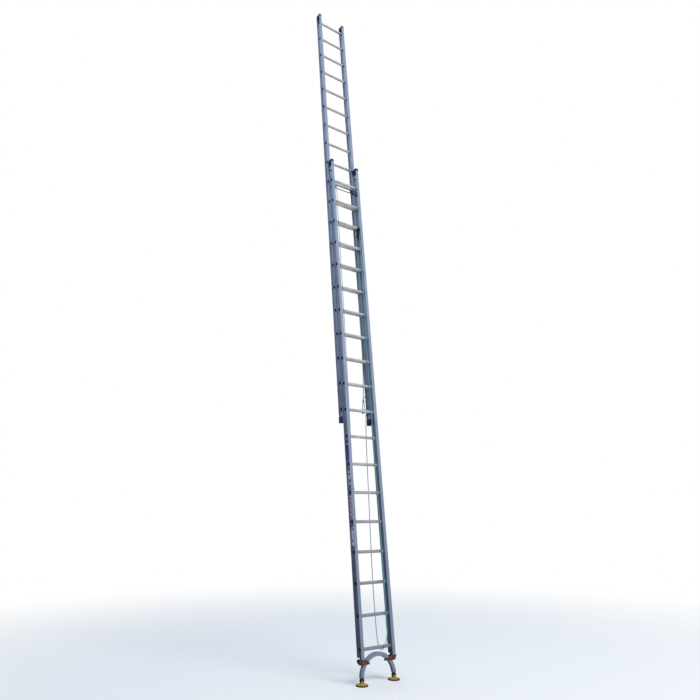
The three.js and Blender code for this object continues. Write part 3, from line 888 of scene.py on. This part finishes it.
def hood(name, flange_y, way, low_h, high_h):
    """A thin moulded lip that wraps a flange's face at a stile's end, on the right-hand side."""
    face = sorted((flange_y + way * HOOD_AIR, flange_y + way * HOOD_OUT))
    lip = sorted((flange_y - way * HOOD_LAP, flange_y + way * HOOD_OUT))
    plates = [block("face", (HOOD_FACE_X[0], face[0], low_h), (HOOD_FACE_X[1], face[1], high_h), 0.7)]
    plates += [block("lip", (low, lip[0], low_h), (high, lip[1], high_h), 0.6) for low, high in HOOD_LIPS_X]
    return joined(name, plates)


for place, side in SIDES.items():
    base_top = upright_box(f"base_stile_{place}")[1].z / MM
    fly_foot, fly_top = (corner.z / MM for corner in upright_box(f"fly_stile_{place}"))
    front, back = (corner.y / MM for corner in upright_box(f"fly_stile_{place}"))
    base_front = upright_box(f"base_stile_{place}")[0].y / MM
    for name, body, flange, way, reach in (
            ("base_cap_hood", "base", base_front, -1, (base_top - 22, base_top + 8.3)),
            ("fly_top_hood", "fly", front, -1, (fly_top - 14, fly_top + 7)),
            ("fly_foot_hood", "fly", back, 1, (fly_foot - 8, fly_foot + 59))):
        piece = hood(f"{name}_{place}", flange, way, *reach)
        if side == LEFT:
            moved(piece, MIRRORED)
        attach(moved(dress(piece, NAVY), LEAN), body)

for place, side in SIDES.items():
    low, high = upright_box(f"fly_stile_{place}")
    piece = top_plug(f"fly_top_plug_{place}", (low.y + high.y) / 2 / MM, high.z / MM)
    if side == LEFT:
        moved(piece, MIRRORED)
    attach(moved(dress(piece, NAVY), LEAN), "fly")
    head = copied(rivet, f"fly_top_rivet_{place}", LEAN
                  @ shift(side * 215.8, (low.y + high.y) / 2 / MM, high.z / MM - 33)
                  @ outward(side))
    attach(head, "fly")

# %% Plates with a round end
def web_plate(name, x, y, h, thick, radius, material):
    """A plate that faces X. Each of x, y and h is a low and a high value in millimetres; the corners at the
    end that radius names, low or high, are rounded."""
    end_name, size = radius
    bpy.ops.mesh.primitive_plane_add(size=1, location=(x * MM, sum(y) / 2 * MM, sum(h) / 2 * MM),
                                     rotation=(0, math.radians(90), 0))
    obj = begin(name)
    bpy.ops.transform.resize(value=(1, (y[1] - y[0]) * MM, (h[1] - h[0]) * MM),
                             center_override=(x * MM, sum(y) / 2 * MM, sum(h) / 2 * MM))
    level = h[0] if end_name == "low" else h[1]
    if size:
        pick("VERT", lambda v: abs(v.co.z - level * MM) < 0.1 * MM)
        bpy.ops.mesh.bevel(offset=size * MM, segments=7, affect="VERTICES")
    bpy.ops.mesh.select_all(action="SELECT")
    extrude((thick * MM, 0, 0))
    return dress(end(obj), material)


for place, side in SIDES.items():
    for x, thick in ((199.1, 1.6), (195.9, -1.6)):
        face = "outer" if thick > 0 else "inner"
        head = upright_box(f"base_stile_{place}")[1].z / MM - 58
        foot = upright_box(f"fly_stile_{place}")[0].z / MM + 59
        over, under = side * (x + thick * 0.6), side * x
        # painted shadow: each black edge sheet is a little larger than its plate, so it shows as a dark line
        # round the plate
        plates = {
            "base": [web_plate("plate", over, (-31, 31), (head - 75, head), side * thick * 0.6,
                               ("low", 27), SHEET),
                     web_plate("edge", under, (-34.4, 34.4), (head - 93, head), side * thick * 0.6,
                               ("low", 30), BLACK)],
            "fly": [web_plate("plate", over, (47, 109), (foot, foot + 59), side * thick * 0.6,
                              ("high", 20), SHEET),
                    web_plate("edge", under, (43.6, 112.4), (foot, foot + 71), side * thick * 0.6,
                              ("high", 23), BLACK)]}
        for section, pair in plates.items():
            piece = moved(joined(f"{section}_stiffener_{face}_{place}", pair), LEAN)
            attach(piece, section)
print("plugs, rivets and stiffeners are on")

# %% [markdown]
# ## The levelling arc
#
# The ladder stands on a bow of square tube. When it slides sideways in its clamps one foot drops and
# the other rises, which levels the ladder on a slope. A spin of one square section round the bow's
# centre gives an even tube; a curve with a bevel would be as good, but its corners twist more easily.

# %% The bow of square tube
ARC_CENTRE_H = 19
ARC_RADIUS = 201
TUBE_SIDE = 38
TUBE_WALL = 3
ARC_START = 4


def levelling_arc():
    """The bow, spun from its right-hand end to its left."""
    bpy.ops.mesh.primitive_plane_add(size=TUBE_SIDE * MM, location=(ARC_RADIUS * MM, 0, ARC_CENTRE_H * MM))
    obj = begin("levelling_arc_tube")
    bpy.ops.mesh.bevel(offset=4 * MM, segments=4, affect="VERTICES")
    bpy.ops.mesh.select_all(action="SELECT")
    bpy.ops.mesh.inset(thickness=TUBE_WALL * MM)
    bpy.ops.mesh.delete(type="FACE")
    bpy.ops.mesh.select_all(action="SELECT")
    centre = (0, 0, ARC_CENTRE_H * MM)
    moved_up = Matrix.Rotation(math.radians(-ARC_START), 4, "Y")
    section = bmesh.from_edit_mesh(obj.data)
    for vert in section.verts:
        vert.co = moved_up @ (vert.co - Vector(centre)) + Vector(centre)
    bmesh.update_edit_mesh(obj.data)
    bpy.ops.mesh.spin(steps=72, angle=math.radians(180 - 2 * ARC_START), center=centre, axis=(0, 1, 0))
    obj = end(obj)
    print("bow tops out at", round(max(v.co.z for v in obj.data.vertices) / MM), "mm")
    return obj


arc = dress(levelling_arc(), ARC)
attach(moved(arc, LEAN), "arc")
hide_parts("levelling_arc")

# %% [markdown]
# ## Clamps
#
# Two painted plates and a block between them grip the bow, and bolts draw the plates together.
# The block and its slot are exact in the frame, so its shape is copied, its edges are rounded, and
# its faces get red paint or a dark grey by how far they are from the middle. That dark grey is painted
# shade on the block's bare metal.

# %% Both clamps with their bolts
PLATE_FACE = 26.5
PLATE_BAND = 19.9
WASHER = 1.2
BOLT_PLACES = [(222, 181), (121, 150), (214, 159), (160, 176)]

for place, side in SIDES.items():
    piece = dress(refined_copy(f"arc_clamp_{place}", f"arc_clamp_{place}_painted", 0.9), RED, CLAMP_BLOCK_SHADE)
    # painted shade: the block's faces near the middle get dark grey for its metal in shadow
    for face in piece.data.polygons:
        face.material_index = 0 if abs(face.center.y) > PLATE_BAND * MM else 1
    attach(moved(piece, LEAN), "base")
    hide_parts(f"arc_clamp_{place}")
    heads = []
    for x, h in BOLT_PLACES:
        heads.append(copied(bolt, "head", shift(side * x, -PLATE_FACE - WASHER, h) @ ALONG_Y))
        heads.append(copied(bolt, "head", shift(side * x, PLATE_FACE + WASHER, h) @ ALONG_Y.inverted()))
    for h in (205, 228):
        heads.append(copied(bolt, "head", shift(side * 200.6, 0, h)
                            @ outward(side)))
    piece = moved(joined(f"arc_clamp_{place}_bolts", heads), LEAN)
    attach(piece, "base")

# %% The locking lever on the left clamp
lever_arm = block("lever_arm", (-203, -38, 146), (-194, -33, 176), 1.8)
lever_hub = turned("lever_hub", [(0, 8), (1, 9), (11, 9), (12, 8)], 24)
moved(lever_hub, shift(-198.5, -27, 172) @ ALONG_Y)
lever = dress(joined("arc_clamp_lever", [lever_arm, lever_hub]), STEEL)
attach(moved(lever, LEAN), "base")

# %% [markdown]
# ## Feet
#
# Each end of the bow carries a black neck that swivels, and under it a yellow pad on a rubber sole
# that tips to lie flat on the ground. The pad is a turned cone with eight ribs, as moulders make a
# strong shape from little plastic. The pads stand level while the ladder leans, so they stay upright.

# %% The pad, its ribs and its sole
PAD_X = abs((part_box("foot_pad_left")[0][0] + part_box("foot_pad_left")[1][0]) / 2) / MM


def pad_body():
    """The yellow part of a foot: skirt, cone, lug and ribs, about Z."""
    cone = turned("cone", [(8, 45), (8, 50), (9, 52.5), (12, 52.5), (13.4, 51), (14, 47), (16.4, 36),
                           (20, 27), (25, 21), (26, 15)], 56)
    ribs = []
    for k in range(8):
        bpy.ops.mesh.primitive_cube_add(size=1, location=(0.034, 0, 0.0175), scale=(0.034, 0.0042, 0.011))
        rib = begin(f"rib_{k}")
        pick("EDGE", lambda e: all(v.co.x > 0.05 and v.co.z > 0.02 for v in e.verts))
        bpy.ops.transform.translate(value=(-0.004, 0, -0.0085))
        pick("EDGE", lambda e: True)
        bpy.ops.mesh.bevel(offset=0.0008, segments=2, affect="EDGES")
        ribs.append(moved(end(rib), Matrix.Rotation(math.radians(22.5 + 45 * k), 4, "Z")))
    barrel = moved(turned("barrel", [(-12.5, 8.4), (-11.9, 9), (11.9, 9), (12.5, 8.4)], 32), shift(0, 0, 38)
                   @ ALONG_X)
    web = block("web", (-12.5, -8.9, 22), (12.5, 8.9, 38), 0.8)
    return joined("pad_body", [cone, barrel, web] + ribs)


def pad_sole():
    """The rubber sole with a rolled rim and a stepped tread."""
    return turned("pad_sole", [(3, 20), (3, 26), (0, 27), (0, 33), (3, 34), (3, 39), (0, 40), (0, 46),
                               (3, 47), (3, 51), (0, 52), (0, 57.5), (1.2, 59.4), (3, 60), (7.5, 60),
                               (9.6, 59), (10.8, 56.6), (11, 53), (10.4, 50)], 64)


body, sole = dress(pad_body(), OCHRE), dress(pad_sole(), RUBBER)
pin = dress(turned("pin", [(-21, 4.4), (-20.6, 6.8), (-19.4, 6.8), (-19.2, 4), (19.2, 4), (19.4, 6.2),
                           (20.8, 6.2), (21.2, 4.8)], 24), STEEL)
for place, side in SIDES.items():
    pad = copied(body, f"foot_pad_{place}_cone", shift(side * PAD_X, 0, 0))
    tread = copied(sole, f"foot_pad_{place}_sole", shift(side * PAD_X, 0, 0))
    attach(pad, f"pad_{place}")
    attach(tread, f"pad_{place}")
    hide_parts(f"foot_pad_{place}")
    neck = dress(refined_copy(f"foot_neck_{place}", f"foot_neck_{place}_forging", 0.9), BLACK)
    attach(moved(neck, LEAN), f"neck_{place}")
    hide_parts(f"foot_neck_{place}")
    ankle = copied(pin, f"ankle_pin_{place}", LEAN @ shift(side * PAD_X, 0, 0) @ ALONG_X)
    neck_pin = copied(pin, f"neck_pin_{place}", LEAN @ shift(side * PAD_X, 0, 38) @ ALONG_Y)
    for piece in (ankle, neck_pin):
        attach(piece, f"neck_{place}")
for piece in (body, sole, pin):
    bpy.data.objects.remove(piece)
print("feet stand at x =", round(PAD_X, 1), "mm on either side")

# %% [markdown]
# ## The latches
#
# Two hooked pawls on one shaft catch a rung of the fly, and a crank on the left one is pulled by the
# thin line. The yoke is copied from the frame. Two coil springs wrap the shaft and push the pawls out:
# a small circle is carried round by the Screw modifier, which is made for springs.

# %% The yoke, its springs and its collars
yoke = dress(refined_copy("latch_yoke", "latch_yoke_forging", 0.8), BLACK)
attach(moved(yoke, LEAN), "latch")
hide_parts("latch_yoke")


def coil_spring(name, turns, radius, wire, pitch):
    """A closed-ended spring about Z that starts at the origin."""
    bpy.ops.mesh.primitive_circle_add(vertices=8, radius=wire * MM, location=(radius * MM, 0, 0),
                                      rotation=(math.radians(90), 0, 0), fill_type="NOTHING")
    obj = end(begin(name))
    apply_modifier(obj, "SCREW", angle=2 * math.pi * turns, screw_offset=pitch * turns * MM, steps=22 * turns,
                   render_steps=22 * turns, use_merge_vertices=False, iterations=1)
    bpy.ops.object.mode_set(mode="EDIT")
    pick("EDGE", lambda e: e.is_boundary)
    bpy.ops.mesh.edge_face_add()
    return end(obj)


coils = []
for side in (LEFT, RIGHT):
    spring = coil_spring("spring", 9, 7.4, 1, 2.3)
    coils.append(moved(spring, shift(side * 133 - 10, SHAFT_Y, SHAFT_H) @ ALONG_X))
springs = moved(dress(joined("latch_springs", coils), STEEL), LEAN)
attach(springs, "latch")

rings = []
for x in (-176, 172):
    ring = turned("collar", [(0, 5.2), (0, 10), (1, 11), (8, 11), (9, 10), (9, 5.2)], 28, closing="bridge")
    rings.append(moved(ring, shift(x, SHAFT_Y, SHAFT_H) @ ALONG_X))
collars = moved(dress(joined("latch_collars", rings), SHEET), LEAN)
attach(collars, "base")

heads = []
for side in (LEFT, RIGHT):
    heads.append(copied(rivet, "shaft_end", shift(side * 203.2, SHAFT_Y, SHAFT_H)
                        @ outward(side)))
shaft_ends = moved(joined("latch_shaft_ends", heads), LEAN)
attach(shaft_ends, "latch")

# %% [markdown]
# ## The pulley
#
# The hoist rope turns over a grooved sheave that hangs from a rung near the base's top. The sheave is
# turned from a line of circles and bridged round its bore, and the bracket is copied from the frame.

# %% The sheave and its bracket
sheave = turned("pulley_sheave_turned", [
    (-7, 5.2), (-7, 11), (-5.4, 12), (-5.4, 26), (-7, 27.5), (-7, 31), (-6.2, 32), (-5.2, 32), (-3.6, 25.6),
    (-1.8, 22.8), (0, 22.2), (1.8, 22.8), (3.6, 25.6), (5.2, 32), (6.2, 32), (7, 31), (7, 27.5), (5.4, 26),
    (5.4, 12), (7, 11), (7, 5.2)], 56, closing="bridge")
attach(moved(dress(sheave, BLACK), LEAN @ shift(SHEAVE_X, 0, SHEAVE_H) @ ALONG_X), "sheave")
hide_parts("pulley_sheave")

bracket = dress(refined_copy("pulley_bracket", "pulley_bracket_strap", 0.7), BLACK)
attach(moved(bracket, LEAN), "base")
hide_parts("pulley_bracket")

heads = [copied(bolt, "head", shift(SHEAVE_X + side * 12.2, 0, SHEAVE_H)
                @ outward(side)) for side in (LEFT, RIGHT)]
axle_heads = moved(joined("pulley_axle_bolt", heads), LEAN)
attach(axle_heads, "base")

# %% [markdown]
# ## Stickers
#
# Films on the base's left web tell the climber how to set the ladder up, and a small one is on the
# fly's right web. They are plain coloured panels without any lettering: a thin film for each sticker,
# and smaller films on it.

# %% Panels on the webs
def sticker(name, side, panels, body):
    """Films on a stile's outer web. Each panel is y from and to, h from and to, the corner that is rounded
    and its radius, and a film."""
    films = []
    for level, (y, h, corner, material) in enumerate(panels):
        films.append(web_plate("film", side * (199.05 + 0.16 * min(level, 1)), y, h, side * 0.16, corner,
                               material))
    piece = moved(joined(name, films), LEAN)
    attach(piece, body)
    return piece


SQUARE = ("low", 0)
sticker("sticker_dark_blue", LEFT, [
    ((-30, 30), (2157, 2367), ("high", 14), FILM_BLUE),
    ((-12, 12), (2170, 2196), SQUARE, FILM_RED), ((-22, 22), (2320, 2334), SQUARE, FILM_PALE)], "base")
sticker("sticker_lavender", LEFT, [
    ((-30, 30), (1887, 2027), ("high", 5), FILM_PALE),
    ((-26, 26), (1984, 2012), SQUARE, FILM_OLIVE), ((-14, 14), (1905, 1940), SQUARE, FILM_BLUE)], "base")
sticker("sticker_steps", LEFT, [((-26, 26), (1527, 1767), ("high", 6), FILM_WHITE)] + [
    ((-20, 2) if k % 2 else (-2, 20), (1540 + 24 * k, 1556 + 24 * k), SQUARE, FILM_RED)
    for k in range(9)], "base")
sticker("sticker_low", LEFT, [
    ((-28, 28), (1257, 1442), ("high", 6), FILM_PALE),
    ((-20, 20), (1410, 1428), SQUARE, FILM_RED), ((-20, -4), (1340, 1372), SQUARE, FILM_RED),
    ((4, 20), (1290, 1322), SQUARE, FILM_RED)], "base")
sticker("sticker_fly", RIGHT, [
    ((60, 96), (7727, 7797), ("high", 3), FILM_WHITE), ((64, 92), (7770, 7790), SQUARE, FILM_RED)], "fly")
for piece in (rivet, bolt):
    bpy.data.objects.remove(piece)
print("stickers are on")

# %% [markdown]
# ## Light, floor and world
#
# Bare metal shows its surroundings more than its own colour. So the world is drawn with care: it is
# dim near the ground, brighter overhead and at the back on the right, and brightest low in front. The
# floor is plain and pale and fades out. It and the lights are hidden from mirror rays, so the metal
# mirrors only the world.

# %% The floor
def floor_material():
    """A pale, plain ground that fades out with distance."""
    n = finish("floor_pale")
    seen = n.add("ShaderNodeTexCoord", output=3)
    away = n.add("ShaderNodeVectorMath", {"operation": "LENGTH"}, {0: seen}, output=1)
    shader = n.add("ShaderNodeBsdfPrincipled", {}, {"Base Color": (0.93, 0.9, 0.86, 1), "Roughness": 0.9,
                                                   "Alpha": n.ramp(away, 2.2, 9, 1, 0)})
    n.add_output("ShaderNodeOutputMaterial", shader)
    return n.owner


bpy.ops.mesh.primitive_circle_add(vertices=64, radius=9, fill_type="NGON")
floor = end(begin("floor"))
dress(floor, floor_material())
floor.visible_glossy = False

# %% The world
def studio_world():
    """Plain white to the camera, and a soft gradient to everything else."""
    world = bpy.data.worlds.new("studio")
    bpy.context.scene.world = world
    n = Nodes(world)
    way = n.add("ShaderNodeTexCoord", output=0)
    height = n.axis(way, 2)
    front = n.add("ShaderNodeVectorMath", {"operation": "DOT_PRODUCT"}, {0: way, 1: (0.55, -0.83, 0)},
                  output=1)
    sky = n.mix(n.ramp(height, -0.15, 0.85), (0.085, 0.095, 0.115, 1), (0.62, 0.74, 0.92, 1))
    near = n.mix(n.ramp(height, 0.1, 0.9), (0.74, 0.82, 0.96, 1), (0.42, 0.5, 0.62, 1))
    front_lit = n.mix(n.ramp(front, -0.15, 0.9) * 0.8, sky, near)
    back = n.add("ShaderNodeVectorMath", {"operation": "DOT_PRODUCT"}, {0: way, 1: (0.76, 0.65, 0)}, output=1)
    lit = n.mix(n.ramp(back, 0.25, 0.95) * 0.8, front_lit, (0.56, 0.62, 0.72, 1))
    soft = n.add("ShaderNodeBackground", {}, {0: lit, 1: 1.0})
    plain = n.add("ShaderNodeBackground", {}, {0: (1, 1, 1, 1), 1: 1.0})
    camera_ray = n.add("ShaderNodeLightPath", output=0)
    shader = n.add("ShaderNodeMixShader", {}, {0: camera_ray, 1: soft, 2: plain})
    n.add_output("ShaderNodeOutputWorld", shader)


studio_world()
bpy.context.scene.view_settings.view_transform = "Standard"

# %% Lights
def soft_light(name, place, aim, size, power, colour=(1, 1, 1)):
    """A square area light that faces a point."""
    lamp = bpy.data.lights.new(name, "AREA")
    lamp.size, lamp.energy, lamp.color = size, power, colour
    obj = bpy.data.objects.new(name, lamp)
    bpy.context.scene.collection.objects.link(obj)
    obj.visible_glossy = False
    obj.location = place
    obj.rotation_euler = (Vector(aim) - Vector(place)).to_track_quat("-Z", "Y").to_euler()
    return obj


soft_light("key", (2, -9, 13), (0, 0.4, 4), 6, 1100, (1, 0.96, 0.9))
soft_light("fill", (4, -9, 2), (0, 0.4, 3), 5, 40)
